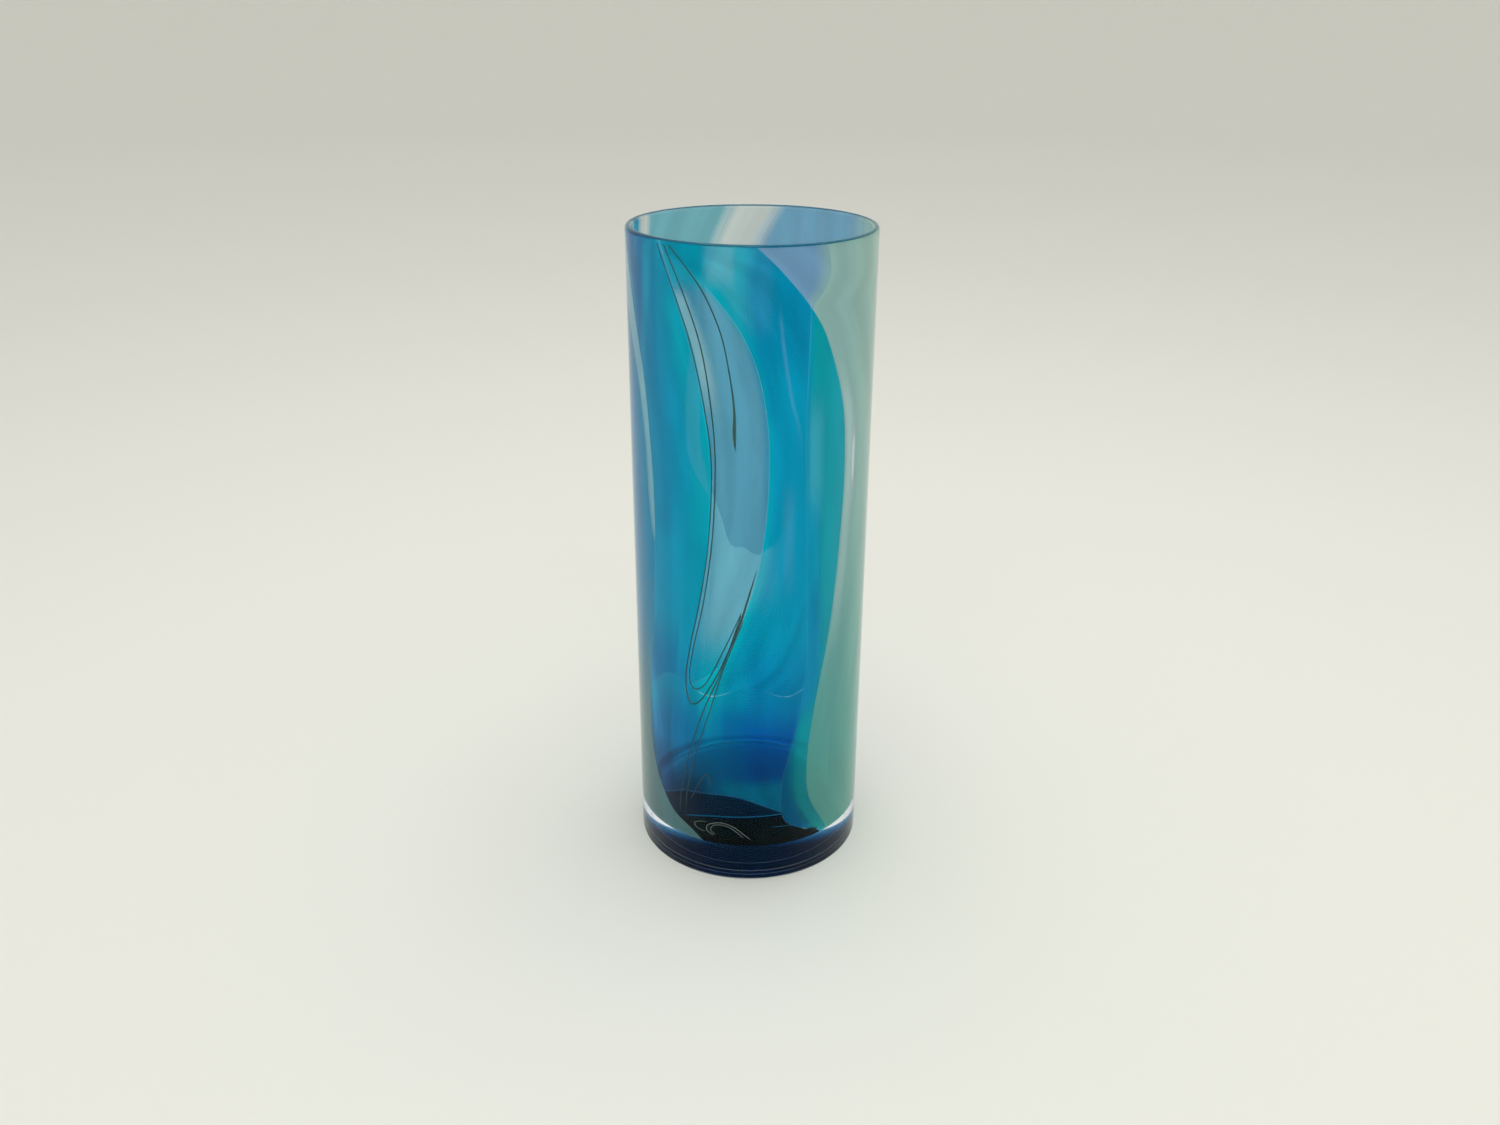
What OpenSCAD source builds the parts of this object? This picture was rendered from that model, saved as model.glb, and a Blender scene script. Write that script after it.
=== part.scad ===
// Hand blown art glass vase: a tall straight cylinder on a thick clear foot.
// Three gathers of glass lie one inside the other: a clear liner round the cavity, a layer of
// coloured and opal glass pieces that fit edge to edge, and a clear casing that also makes the foot.
// Fine dark stringers lie in grooves between the colour and the casing.
// Origin: centre of the foot's underside. +Z is up. -Y is the front. All sizes in millimetres.
// Angles round the wall are in degrees from the front, and grow towards +X.

/* [Vase] */
// Height from the foot's underside to the top of the lip
height = 250; // [230:1:280]
// Outside diameter
outer_d = 90; // [84:1:100]

/* [Glass layers] */
// Thickness of the clear casing on the wall
casing_t = 1.0; // [0.9:0.05:1.4]
// Thickness of the colour layer
colour_t = 0.8; // [0.6:0.05:1.2]
// Thickness of the clear liner
liner_t = 0.9; // [0.6:0.05:1.4]
// Clear glass that closes over the colour at the lip
lip_cover = 0.5; // [0.3:0.1:1]

/* [Foot] */
// Clear glass under the colour at the middle of the foot
foot_t = 14.5; // [10:0.5:18]
// Rounding of the heel, where the wall meets the underside
heel_r = 2; // [1:0.25:3]
// Rounding inside the cavity, where the wall meets the floor
cavity_corner_r = 4; // [3:0.5:9]

/* [Stringers] */
// Width of a stringer thread
stringer_w = 0.5; // [0.35:0.05:0.8]
// Depth that a stringer is pressed flat to
stringer_t = 0.3; // [0.2:0.05:0.35]

/* [Hidden] */
$fn = 96;

outer_r = outer_d / 2;
colour_r = outer_r - casing_t;
liner_r = colour_r - colour_t;
cavity_r = liner_r - liner_t;
lip_r = (outer_r - cavity_r) / 2;
liner_z = foot_t + colour_t;
cavity_z = liner_z + liner_t;
floor_r = cavity_r - cavity_corner_r;
above = height + 10;         // a level clear of the lip, where cutting shapes end
reach = outer_r + 10;        // how far a cutting shape runs out past the wall
spline_steps = 4;            // straight pieces between two points of a boundary
mid_r = (colour_r + liner_r) / 2;
two_levels = 2 * stringer_t; // a stringer that crosses another lies on a second level

// Edges between the pieces of colour. Each point is [angle, height as a share of the vase's height],
// from the lip down to below the foot's top.
band_left = [[-80, 1], [-67.5, 0.9], [-57, 0.79], [-52, 0.65], [-52, 0.54], [-55, 0.41], [-60, 0.28],
    [-57, 0.18], [-44, 0.11], [-26, 0.07], [-20, 0]];
thread_line = [[-44, 1], [-35, 0.93], [-26.5, 0.86], [-20.2, 0.77], [-17.6, 0.68], [-19, 0.59],
    [-23, 0.5], [-29, 0.41], [-32, 0.3], [-34, 0.15], [-34, 0]];
veil_right = [[-58, 1], [-40, 0.98], [-22, 0.95], [-2, 0.87], [7, 0.77], [8, 0.65], [3, 0.53],
    [-11, 0.4], [-30, 0.34], [-50, 0.3], [-60, 0.1]];
emerald_left = [[30, 1], [27, 0.93], [26, 0.84], [26, 0.7], [28, 0.5], [29, 0.38], [25, 0.29],
    [20.5, 0.23], [17.5, 0.19], [16.5, 0.15], [17.7, 0.115], [23, 0.095], [33, 0.08], [40, 0.07], [44, 0]];
band_right = [[1, 1], [13, 0.965], [28, 0.91], [37, 0.86], [46.5, 0.77], [49, 0.68], [47.6, 0.58],
    [42.7, 0.44], [34, 0.3], [30.5, 0.21], [32.3, 0.14], [44, 0.07], [50, 0]];
shoulder_right = [[34, 1], [36, 0.96], [31, 0.93], [22, 0.91], [0, 0.9]];
jade_right = [[112, 1], [111, 0.86], [107, 0.7], [104, 0.5], [107, 0.3], [112, 0.12], [113, 0]];
ribbon_left = [[166, 1], [176, 0.945], [184, 0.88], [180, 0.78], [172, 0.68], [170, 0.58],
    [170, 0.46], [174, 0.36], [186, 0.26], [198, 0.16], [200, 0]];
ribbon_right = [[190, 1], [199, 0.945], [208, 0.88], [208, 0.78], [204, 0.66], [202, 0.52],
    [204, 0.38], [208, 0.24], [212, 0]];
streak_left = [[242, 1], [247, 0.9], [256, 0.78], [263, 0.65], [264, 0.5], [258, 0.32], [252, 0.14],
    [250, 0]];
streak_right = [[252, 1], [257, 0.9], [264, 0.78], [269, 0.65], [269, 0.5], [263, 0.32], [257, 0.14],
    [255, 0]];
white_edge_left = [[-100, 1], [-84, 0.93], [-72.5, 0.86], [-62.5, 0.78], [-58, 0.7], [-56, 0.62],
    [-52, 0.56], [-40, 0.52], [-30, 0.5]];

// Upper edges of the pieces that fill the lower part of the wall, from left to right
pool_top = [[-80, 0.3], [-60, 0.31], [-42, 0.35], [-20, 0.33], [0, 0.35], [20, 0.33], [40, 0.36],
    [60, 0.36]];
heel_top = [[-80, 0.12], [-50, 0.13], [-35, 0.15], [-22, 0.156], [-10, 0.158], [1, 0.15], [16, 0.127],
    [24, 0.115], [40, 0.085], [60, 0.07]];
celadon_top = [[-120, 0.47], [-100, 0.46], [-84, 0.5], [-68, 0.47], [-50, 0.5], [-30, 0.5]];

// Routes of the stringers, in the same terms
outer_loop = [[-45, 0.985], [-35.5, 0.93], [-27, 0.86], [-20.5, 0.77], [-17.8, 0.69], [-19.5, 0.58],
    [-24.5, 0.48], [-29.5, 0.41], [-32.4, 0.35], [-30, 0.312], [-23.3, 0.324], [-14, 0.379], [-5, 0.451],
    [-0.5, 0.5], [3, 0.54]];
inner_loop = [[-41, 0.985], [-30.5, 0.93], [-22.3, 0.86], [-17.5, 0.77], [-16, 0.69], [-17.8, 0.58],
    [-22.5, 0.48], [-27.6, 0.41], [-30.2, 0.36], [-27.7, 0.338], [-21, 0.353], [-11, 0.42], [-4, 0.473]];
streak = [[-38, 0.985], [-28, 0.963], [-20, 0.93], [-13, 0.88], [-9, 0.82], [-7, 0.77], [-7, 0.72]];
tail_left = [[-4, 0.47], [-13, 0.38], [-23, 0.3], [-31, 0.22], [-36, 0.15], [-37, 0.11]];
tail_right = [[-3, 0.46], [-12.3, 0.38], [-19.8, 0.3], [-27.5, 0.22], [-32.5, 0.15], [-33.5, 0.11]];
hook = [[-30, 0.14], [-26, 0.17], [-22, 0.19], [-20, 0.185], [-19, 0.165]];
curls = [
    [[-18, 0.081], [-21.5, 0.088], [-21, 0.098], [-16.5, 0.105], [-12, 0.106], [-7, 0.1], [-3, 0.09],
        [1, 0.079]],
    [[-17, 0.083], [-19.5, 0.09], [-18, 0.099], [-14, 0.1025], [-10, 0.1], [-6, 0.092], [-2.5, 0.082]],
    [[-23, 0.085], [-27, 0.088], [-28.5, 0.095], [-26, 0.101], [-22, 0.103]]
];

// A point on the smooth curve through b and c, at share t of the way between them
function on_curve(a, b, c, d, t) =
    0.5 * (2 * b + (c - a) * t + (2 * a - 5 * b + 4 * c - d) * t * t + (3 * b - a - 3 * c + d) * t * t * t);
function smooth(p) = let (last = len(p) - 1) [
    for (i = [0 : last - 1], s = [0 : spline_steps - 1])
        on_curve(p[max(i - 1, 0)], p[i], p[i + 1], p[min(i + 2, last)], s / spline_steps),
    p[last]
];
function mean_angle(p) = (min([for (q = p) q[0]]) + max([for (q = p) q[0]])) / 2;
// The same curve seen square on from outside at one angle, as [distance sideways, height]
function facing(p, angle, r) = [for (q = smooth(p)) [r * sin(q[0] - angle), q[1] * height]];
function direction(p, i) = let (
    d = p[min(i + 1, len(p) - 1)] - p[max(i - 1, 0)]
) d / norm(d);
function beside(p, w) = [for (i = [0 : len(p) - 1]) p[i] + w * [-direction(p, i)[1], direction(p, i)[0]]];
function backwards(p) = [for (i = [len(p) - 1 : -1 : 0]) p[i]];

// Runs a flat outline, drawn as seen from outside at one angle, out through the wall there
module through_wall(angle) {
    rotate([0, 0, angle]) rotate([90, 0, 0]) linear_extrude(height = reach) children();
}

// Everything on one side of an upright edge: side is 1 for its right, -1 for its left
module beyond(edge, side) {
    angle = mean_angle(edge);
    line = facing(edge, angle, mid_r);
    last = line[len(line) - 1];
    through_wall(angle) polygon(concat(
        [[side * reach, above], [line[0][0], above]], line, [[last[0], -1], [side * reach, -1]]
    ));
}

// Everything under a level edge
module below(edge) {
    angle = mean_angle(edge);
    line = facing(edge, angle, mid_r);
    through_wall(angle) polygon(concat([[-reach, -1], [-reach, line[0][1]]], line,
        [[reach, line[len(line) - 1][1]], [reach, -1]]));
}

module between(left_edge, right_edge) {
    intersection() {
        colour_wall();
        beyond(left_edge, 1);
        beyond(right_edge, -1);
    }
}

// Half the section of a round cup that is open above: its axis to r, from level z upwards
module cup_section(r, z, corner_r) {
    translate([0, z]) square([r - corner_r, above - z]);
    translate([0, z + corner_r]) square([r, above - z - corner_r]);
    translate([r - corner_r, z + corner_r]) circle(corner_r);
}

module colour_section() {
    intersection() {
        cup_section(colour_r, foot_t, cavity_corner_r + liner_t + colour_t);
        square([outer_r, height - lip_cover]);
    }
}
module liner_section() { cup_section(liner_r, liner_z, cavity_corner_r + liner_t); }
module cavity_section() { cup_section(cavity_r, cavity_z, cavity_corner_r); }

// Half the section of the whole vase, with its rounded heel and its full round lip
module vase_section() {
    difference() {
        union() {
            square([outer_r - heel_r, height - lip_r]);
            translate([0, heel_r]) square([outer_r, height - lip_r - heel_r]);
            translate([outer_r - heel_r, heel_r]) circle(heel_r);
            translate([outer_r - lip_r, height - lip_r]) circle(lip_r);
        }
        cavity_section();
    }
}

// The colour layer from the edge of the floor out and up to just under the lip
module colour_wall() {
    rotate_extrude() difference() {
        colour_section();
        liner_section();
        square([floor_r, above]);
    }
}

// A thread pressed flat: from the colour's outside, or from inner_t outside it, out to outer_t
module stringer(route, inner_t, outer_t) {
    angle = mean_angle(route);
    line = facing(route, angle, colour_r);
    half_w = stringer_w / 2;
    intersection() {
        difference() {
            cylinder(r = colour_r + outer_t, h = height);
            translate([0, 0, -1]) cylinder(r = colour_r + inner_t, h = height + 2);
        }
        through_wall(angle) polygon(concat(beside(line, half_w), backwards(beside(line, -half_w))));
    }
}

module casing_grooves() {
    inside = -colour_t / 2; // the grooves are open towards the colour
    stringer(outer_loop, inside, stringer_t);
    stringer(inner_loop, inside, stringer_t);
    stringer(streak, inside, stringer_t);
    stringer(tail_left, stringer_t, two_levels);
    stringer(tail_right, stringer_t, two_levels);
    stringer(hook, inside, stringer_t);
    for (curl = curls) stringer(curl, inside, stringer_t);
}

module clear_casing() {
    color([0.92, 0.96, 0.95, 0.25]) difference() {
        rotate_extrude() difference() {
            vase_section();
            colour_section();
            liner_section();
        }
        casing_grooves();
    }
}

module clear_liner() {
    color([0.94, 0.97, 0.97, 0.25]) rotate_extrude() intersection() {
        vase_section();
        liner_section();
    }
}

module cobalt_floor() {
    color([0.02, 0.13, 0.42]) translate([0, 0, foot_t]) cylinder(r = floor_r, h = colour_t);
}

module turquoise_band() {
    color([0.0, 0.55, 0.68]) difference() {
        between(band_left, thread_line);
        below(pool_top);
    }
}

module azure_band() {
    color([0.08, 0.56, 0.74]) difference() {
        intersection() {
            between(thread_line, emerald_left);
            beyond(veil_right, 1);
            beyond(band_right, -1);
        }
        below(pool_top);
    }
}

module lavender_veil() {
    color([0.5, 0.66, 0.78]) difference() {
        intersection() {
            between(thread_line, veil_right);
            beyond(band_right, -1);
        }
        below(pool_top);
    }
}

module emerald_fringe() {
    color([0.0, 0.62, 0.55]) between(emerald_left, band_right);
}

module cobalt_pool() {
    color([0.0, 0.33, 0.62]) difference() {
        intersection() {
            between(band_left, emerald_left);
            below(pool_top);
        }
        below(heel_top);
    }
}

module midnight_heel() {
    color([0.02, 0.1, 0.12]) intersection() {
        between(band_left, emerald_left);
        below(heel_top);
    }
}

module jade_panel() {
    color([0.5, 0.68, 0.6]) difference() {
        between(band_right, jade_right);
        beyond(shoulder_right, -1);
    }
}

module lavender_shoulder() {
    color([0.55, 0.66, 0.8]) between(band_right, shoulder_right);
}

module periwinkle_panel() {
    color([0.45, 0.6, 0.76]) between(jade_right, ribbon_left);
}

module white_ribbon() {
    color([0.85, 0.87, 0.86]) between(ribbon_left, ribbon_right);
}

module seafoam_panel() {
    color([0.47, 0.69, 0.7]) between(ribbon_right, streak_left);
}

module white_streak() {
    color([0.88, 0.89, 0.87]) between(streak_left, streak_right);
}

module left_side() {
    between(streak_right, [for (p = band_left) p + [360, 0]]);
}

module sky_panel() {
    color([0.4, 0.62, 0.76]) difference() {
        left_side();
        beyond(white_edge_left, 1);
        below(celadon_top);
    }
}

module white_edge() {
    color([0.78, 0.82, 0.83]) difference() {
        intersection() {
            left_side();
            beyond(white_edge_left, 1);
        }
        below(celadon_top);
    }
}

module celadon_panel() {
    color([0.6, 0.72, 0.7]) intersection() {
        left_side();
        below(celadon_top);
    }
}

module stringer_outer_loop() {
    color([0.02, 0.16, 0.16]) stringer(outer_loop, 0, stringer_t);
}

module stringer_inner_loop() {
    color([0.02, 0.16, 0.16]) stringer(inner_loop, 0, stringer_t);
}

module stringer_streak() {
    color([0.02, 0.12, 0.16]) stringer(streak, 0, stringer_t);
}

module stringer_tails() {
    color([0.02, 0.16, 0.16]) {
        stringer(tail_left, stringer_t, two_levels);
        stringer(tail_right, stringer_t, two_levels);
    }
}

module stringer_hook() {
    color([0.02, 0.16, 0.16]) stringer(hook, 0, stringer_t);
}

module heel_curls() {
    color([0.45, 0.55, 0.55]) for (curl = curls) stringer(curl, 0, stringer_t);
}

clear_casing();
clear_liner();
cobalt_floor();
turquoise_band();
azure_band();
lavender_veil();
emerald_fringe();
cobalt_pool();
midnight_heel();
jade_panel();
lavender_shoulder();
periwinkle_panel();
white_ribbon();
seafoam_panel();
white_streak();
sky_panel();
white_edge();
celadon_panel();
stringer_outer_loop();
stringer_inner_loop();
stringer_streak();
stringer_tails();
stringer_hook();
heel_curls();
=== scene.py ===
import math

import bmesh
import bpy
import numpy as np
from mathutils import Matrix, Vector, noise


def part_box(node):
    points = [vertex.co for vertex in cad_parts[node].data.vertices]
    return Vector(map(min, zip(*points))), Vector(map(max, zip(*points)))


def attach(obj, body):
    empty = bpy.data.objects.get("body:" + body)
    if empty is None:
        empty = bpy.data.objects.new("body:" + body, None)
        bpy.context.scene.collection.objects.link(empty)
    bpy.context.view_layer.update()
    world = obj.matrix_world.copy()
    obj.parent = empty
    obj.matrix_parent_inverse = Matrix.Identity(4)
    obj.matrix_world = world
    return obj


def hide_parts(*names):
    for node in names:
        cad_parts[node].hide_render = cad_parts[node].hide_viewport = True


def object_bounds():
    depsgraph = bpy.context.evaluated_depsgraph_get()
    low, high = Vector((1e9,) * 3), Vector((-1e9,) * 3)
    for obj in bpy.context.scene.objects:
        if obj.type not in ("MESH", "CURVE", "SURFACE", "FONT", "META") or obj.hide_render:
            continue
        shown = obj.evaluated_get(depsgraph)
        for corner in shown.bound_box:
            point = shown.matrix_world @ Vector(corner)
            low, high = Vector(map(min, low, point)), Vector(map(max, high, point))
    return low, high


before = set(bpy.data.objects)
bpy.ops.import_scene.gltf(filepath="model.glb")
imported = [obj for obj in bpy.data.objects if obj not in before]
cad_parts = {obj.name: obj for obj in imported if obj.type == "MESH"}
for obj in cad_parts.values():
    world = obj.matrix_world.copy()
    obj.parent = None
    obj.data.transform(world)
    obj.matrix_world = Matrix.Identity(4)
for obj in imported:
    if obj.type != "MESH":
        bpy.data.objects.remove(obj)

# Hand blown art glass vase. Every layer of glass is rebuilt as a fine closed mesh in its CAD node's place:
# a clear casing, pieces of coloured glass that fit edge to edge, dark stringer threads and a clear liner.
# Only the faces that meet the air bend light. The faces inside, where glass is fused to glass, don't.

MM = 0.001
cad_low, cad_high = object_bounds()

# ---------------------------------------------------------------- sizes

OUTER_R = min(cad_high.x, cad_high.y, -cad_low.x, -cad_low.y)
HEIGHT = cad_high.z - cad_low.z
floor_low, floor_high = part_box("cobalt_floor")
COLOUR_Z = floor_low.z                      # underside of the colour layer's floor
COLOUR_T = floor_high.z - floor_low.z
FLOOR_R = floor_high.x                      # where the floor starts to curve up into the wall
CASING_T = 1.0 * MM
LINER_T = 0.9 * MM
HEEL_R = 2.0 * MM
COLOUR_R = OUTER_R - CASING_T
LINER_R = COLOUR_R - COLOUR_T
CAVITY_R = LINER_R - LINER_T
LINER_Z = COLOUR_Z + COLOUR_T
CAVITY_Z = LINER_Z + LINER_T
COLOUR_TOP = HEIGHT - 0.5 * MM              # clear glass closes over the colour at the lip
RIM_DEPTH = 0.5 * MM                        # how far the dark line at the lip runs down the colour layer
FLOOR_FULL = 0.85                           # share of the colour floor's radius that is full thickness
FLOOR_EDGE = 0.25                           # how thick its edge is, as a share of that
THREAD_T = 0.3 * MM
SKIN = 0.02 * MM                            # gap between faces that would otherwise coincide
AIR = 0.1 * MM                              # film of air between the foot and the table

# The lip's round: its middle, as (distance from the axis, height), and the place on it where the casing
# and the liner meet
LIP_R = (OUTER_R - CAVITY_R) / 2
LIP = (OUTER_R - LIP_R, HEIGHT - LIP_R)
JOIN_TURN = math.degrees(math.acos((LINER_R - LIP[0]) / LIP_R))
JOIN_Z = LIP[1] + LIP_R * math.sin(math.radians(JOIN_TURN))

# The colour layer's outside: a round corner from the floor to the wall, then the wall as far as WALL_TOP
CORNER_R = COLOUR_R - FLOOR_R
CORNER_RUN = CORNER_R * math.pi / 2
WALL_TOP = CORNER_RUN + COLOUR_TOP - (COLOUR_Z + CORNER_R)
FLOOR_SHARE = COLOUR_Z / HEIGHT
MM_PER_DEGREE = math.radians(COLOUR_R / MM)

# The blown wall wavers: not at all below WAVE_LOW, fully WAVE_GROWS above that, and not at all at the lip
WAVE = 0.05 * MM
WAVE_LOW = 30 * MM
WAVE_GROWS = 30 * MM
WAVE_FADES = 20 * MM
CALM_LIP = 4 * MM
WAVES_ROUND = 22                            # waves to the metre, across and up
WAVES_UP = 14

# How fine the meshes are
ROUND_STEPS = 256                           # straight pieces round the vase
CORNER_STEPS = 16                           # straight pieces in a round corner
OUTSIDE_ROWS = 150
CAVITY_ROWS = 140
COLUMN = 1.2 * MM                           # width and height of the faces of the colour layer
ROW = 1.5 * MM
FEWEST_COLUMNS = 8
FEWEST_ROWS = 12
SPLINE_STEPS = 16
THREAD_STEPS = 8
THREAD_SIDES = 10
SETTLE = 8                                  # rounds in which a spot's angle and height are matched
HALVINGS = 40                               # rounds in which a crossing of two edges is closed in on

# Fine rings on the underside, scratched white: partly wear where the foot rubs the table, partly painted
# reflections of the base's edges. Radius and width in mm
WEAR_AND_SHEEN_RINGS = [[24.5, 0.25], [33, 0.45], [37, 0.2], [OUTER_R / MM - 3.4, 0.35]]
HEEL_STEPS = 18                             # straight pieces from the underside up to the side
HEEL_WORN_AND_SHEEN = 16                              # how many of them, from the underside up, are scratched white too: partly wear, partly painted light

# Which of a piece's materials a face has
OWN = 0
FUSED_SIDE = 1
RIM_SIDE = 2
WORN_AND_SHEEN_SIDE = 2

# ---------------------------------------------------------------- edges between the colours
# The same points as in the CAD source: [angle from the front in degrees, share of the height].

EDGES = {
    "band_left": [[-80, 1], [-67.5, 0.9], [-57, 0.79], [-52, 0.65], [-52, 0.54], [-55, 0.41], [-60, 0.28],
                  [-57, 0.18], [-44, 0.11], [-26, 0.07], [-20, 0]],
    "thread_line": [[-44, 1], [-35, 0.93], [-26.5, 0.86], [-20.2, 0.77], [-17.6, 0.68], [-19, 0.59],
                    [-23, 0.5], [-29, 0.41], [-32, 0.3], [-34, 0.15], [-34, 0]],
    "veil_right": [[-58, 1], [-40, 0.98], [-22, 0.95], [-2, 0.87], [7, 0.77], [8, 0.65], [3, 0.53],
                   [-11, 0.4], [-30, 0.34], [-50, 0.3], [-60, 0.1]],
    "emerald_left": [[30, 1], [27, 0.93], [26, 0.84], [26, 0.7], [28, 0.5], [29, 0.38], [25, 0.29],
                     [20.5, 0.23], [17.5, 0.19], [16.5, 0.15], [17.7, 0.115], [23, 0.095], [33, 0.08],
                     [40, 0.07], [44, 0]],
    "band_right": [[1, 1], [13, 0.965], [28, 0.91], [37, 0.86], [46.5, 0.77], [49, 0.68], [47.6, 0.58],
                   [42.7, 0.44], [34, 0.3], [30.5, 0.21], [32.3, 0.14], [44, 0.07], [50, 0]],
    "shoulder_right": [[34, 1], [36, 0.96], [31, 0.93], [22, 0.91], [0, 0.9]],
    "jade_right": [[112, 1], [111, 0.86], [107, 0.7], [104, 0.5], [107, 0.3], [112, 0.12], [113, 0]],
    "ribbon_left": [[166, 1], [176, 0.945], [184, 0.88], [180, 0.78], [172, 0.68], [170, 0.58],
                    [170, 0.46], [174, 0.36], [186, 0.26], [198, 0.16], [200, 0]],
    "ribbon_right": [[190, 1], [199, 0.945], [208, 0.88], [208, 0.78], [204, 0.66], [202, 0.52],
                     [204, 0.38], [208, 0.24], [212, 0]],
    "streak_left": [[242, 1], [247, 0.9], [256, 0.78], [263, 0.65], [264, 0.5], [258, 0.32], [252, 0.14],
                    [250, 0]],
    "streak_right": [[252, 1], [257, 0.9], [264, 0.78], [269, 0.65], [269, 0.5], [263, 0.32], [257, 0.14],
                     [255, 0]],
    "white_edge_left": [[-100, 1], [-84, 0.93], [-72.5, 0.86], [-62.5, 0.78], [-58, 0.7], [-56, 0.62],
                        [-52, 0.56], [-40, 0.52], [-30, 0.5]],
}
LEVELS = {
    "pool_top": [[-80, 0.3], [-60, 0.31], [-42, 0.35], [-20, 0.33], [0, 0.35], [20, 0.33], [40, 0.36],
                 [60, 0.36]],
    "heel_top": [[-80, 0.12], [-50, 0.13], [-35, 0.15], [-22, 0.156], [-10, 0.158], [1, 0.15],
                 [16, 0.127], [24, 0.115], [40, 0.085], [60, 0.07]],
    "celadon_top": [[-120, 0.47], [-100, 0.46], [-84, 0.5], [-68, 0.47], [-50, 0.5], [-30, 0.5]],
}
# Lines inside a piece, where the glass was folded or trailed, and lines of painted shadow and painted
# glints, in the same terms
FOLDS_AND_SHADOW_LINES = {
    "wedge_left": [[-60, 0.42], [-55.5, 0.34], [-50.5, 0.27], [-47.5, 0.2], [-44.5, 0.16], [-42, 0.13]],
    "wedge_right": [[-36, 0.42], [-39, 0.34], [-42.3, 0.27], [-43, 0.2], [-40.5, 0.15], [-38, 0.12]],
    "crescent_left": [[-26, 0.88], [-29.6, 0.82], [-30.7, 0.735], [-27.5, 0.69], [-19, 0.65]],
    "crescent_right": [[-27, 0.88], [-23, 0.8], [-23.3, 0.735], [-20.5, 0.69], [-18.5, 0.65]],
    # A painted shadow: a dark line near the left edge
    "dark_seam": [[-76, 1], [-72, 0.95], [-68.5, 0.9], [-66, 0.86], [-64, 0.82]],
    "feather": [[12, 0.93], [14.5, 0.86], [18.5, 0.79], [22, 0.75], [24, 0.7]],
}
FOLD_AND_GLINT_LEVELS = {
    "ledge": [[-24, 0.7], [-18, 0.66], [-13, 0.62], [-11, 0.595], [-8, 0.578], [-3, 0.578], [3, 0.566],
              [8, 0.575], [12, 0.582], [16, 0.61], [19, 0.64], [22, 0.67], [24, 0.72], [26, 0.77]],
    # Painted glints: thin lines in the dark heel that stand in for reflections of the cavity's corner
    "glint": [[-40, 0.097], [-34, 0.104], [-26, 0.111], [-17, 0.117], [0, 0.121], [16, 0.122], [30, 0.12]],
    "low_glint": [[5, 0.101], [12, 0.1], [19, 0.0985], [30, 0.098]],
}
# Routes of the threads, with each point's width in mm
THREADS = {
    "stringer_outer_loop": [[
        [-45, 0.993, 0.4], [-35.5, 0.93, 0.4], [-27, 0.86, 0.4], [-20.5, 0.77, 0.4], [-17.8, 0.69, 0.4],
        [-19.5, 0.58, 0.35], [-24.5, 0.48, 0.4], [-29.5, 0.41, 0.45], [-32.4, 0.35, 0.6],
        [-30, 0.312, 0.65], [-23.3, 0.324, 0.5], [-14, 0.379, 0.5], [-5, 0.451, 0.75],
        [-0.5, 0.5, 0.6], [3, 0.54, 0.15]]],
    "stringer_inner_loop": [[
        [-41, 0.993, 0.45], [-30.5, 0.93, 0.45], [-22.3, 0.86, 0.45], [-17.5, 0.77, 0.45],
        [-16, 0.69, 0.45], [-17.8, 0.58, 0.45], [-22.5, 0.48, 0.4], [-27.6, 0.41, 0.4],
        [-30.2, 0.36, 0.45], [-27.7, 0.338, 0.5], [-21, 0.353, 0.4], [-11, 0.42, 0.4],
        [-4, 0.473, 0.25]]],
    "stringer_streak": [[
        [-38, 0.993, 0.5], [-28, 0.963, 0.5], [-20, 0.93, 0.5], [-13, 0.88, 0.45], [-9, 0.82, 0.45],
        [-7.3, 0.775, 0.8], [-7.3, 0.745, 1.2], [-6.8, 0.72, 0.1]]],
    "stringer_tails": [
        [[-4, 0.47, 0.4], [-13, 0.38, 0.45], [-23, 0.3, 0.5], [-31, 0.22, 0.45], [-36, 0.15, 0.4],
         [-37, 0.11, 0.2]],
        [[-3, 0.46, 0.3], [-12.3, 0.38, 0.4], [-19.8, 0.3, 0.45], [-27.5, 0.22, 0.45],
         [-32.5, 0.15, 0.4], [-33.5, 0.11, 0.2]]],
    "stringer_hook": [[
        [-30, 0.14, 0.25], [-26, 0.17, 0.4], [-22, 0.19, 0.45], [-20, 0.185, 0.45], [-19, 0.165, 0.25]]],
    "heel_curls": [
        [[-18, 0.081, 0.2], [-21.5, 0.088, 0.25], [-21, 0.098, 0.3], [-16.5, 0.105, 0.3],
         [-12, 0.106, 0.25], [-7, 0.1, 0.25], [-3, 0.09, 0.25], [1, 0.079, 0.2]],
        [[-17, 0.083, 0.15], [-19.5, 0.09, 0.2], [-18, 0.099, 0.2], [-14, 0.1025, 0.2],
         [-10, 0.1, 0.2], [-6, 0.092, 0.2], [-2.5, 0.082, 0.15]],
        [[-23, 0.085, 0.15], [-27, 0.088, 0.2], [-28.5, 0.095, 0.25], [-26, 0.101, 0.2],
         [-22, 0.103, 0.15]]],
}
# Seeds, the tiny bubbles left in the casing: angle, share of the height, radius in mm
SEEDS = [
    [-10.8, 0.155, 0.2], [-14.1, 0.138, 0.18], [13.3, 0.28, 0.18], [-38, 0.124, 0.2], [-5.8, 0.563, 0.2],
    [2.6, 0.68, 0.2], [1.8, 0.672, 0.14], [3.2, 0.671, 0.12], [-27, 0.1, 0.15], [38, 0.33, 0.12],
    [150, 0.4, 0.2], [205, 0.62, 0.15], [300, 0.24, 0.2], [96, 0.18, 0.15],
]

# ---------------------------------------------------------------- lines and places

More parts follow.
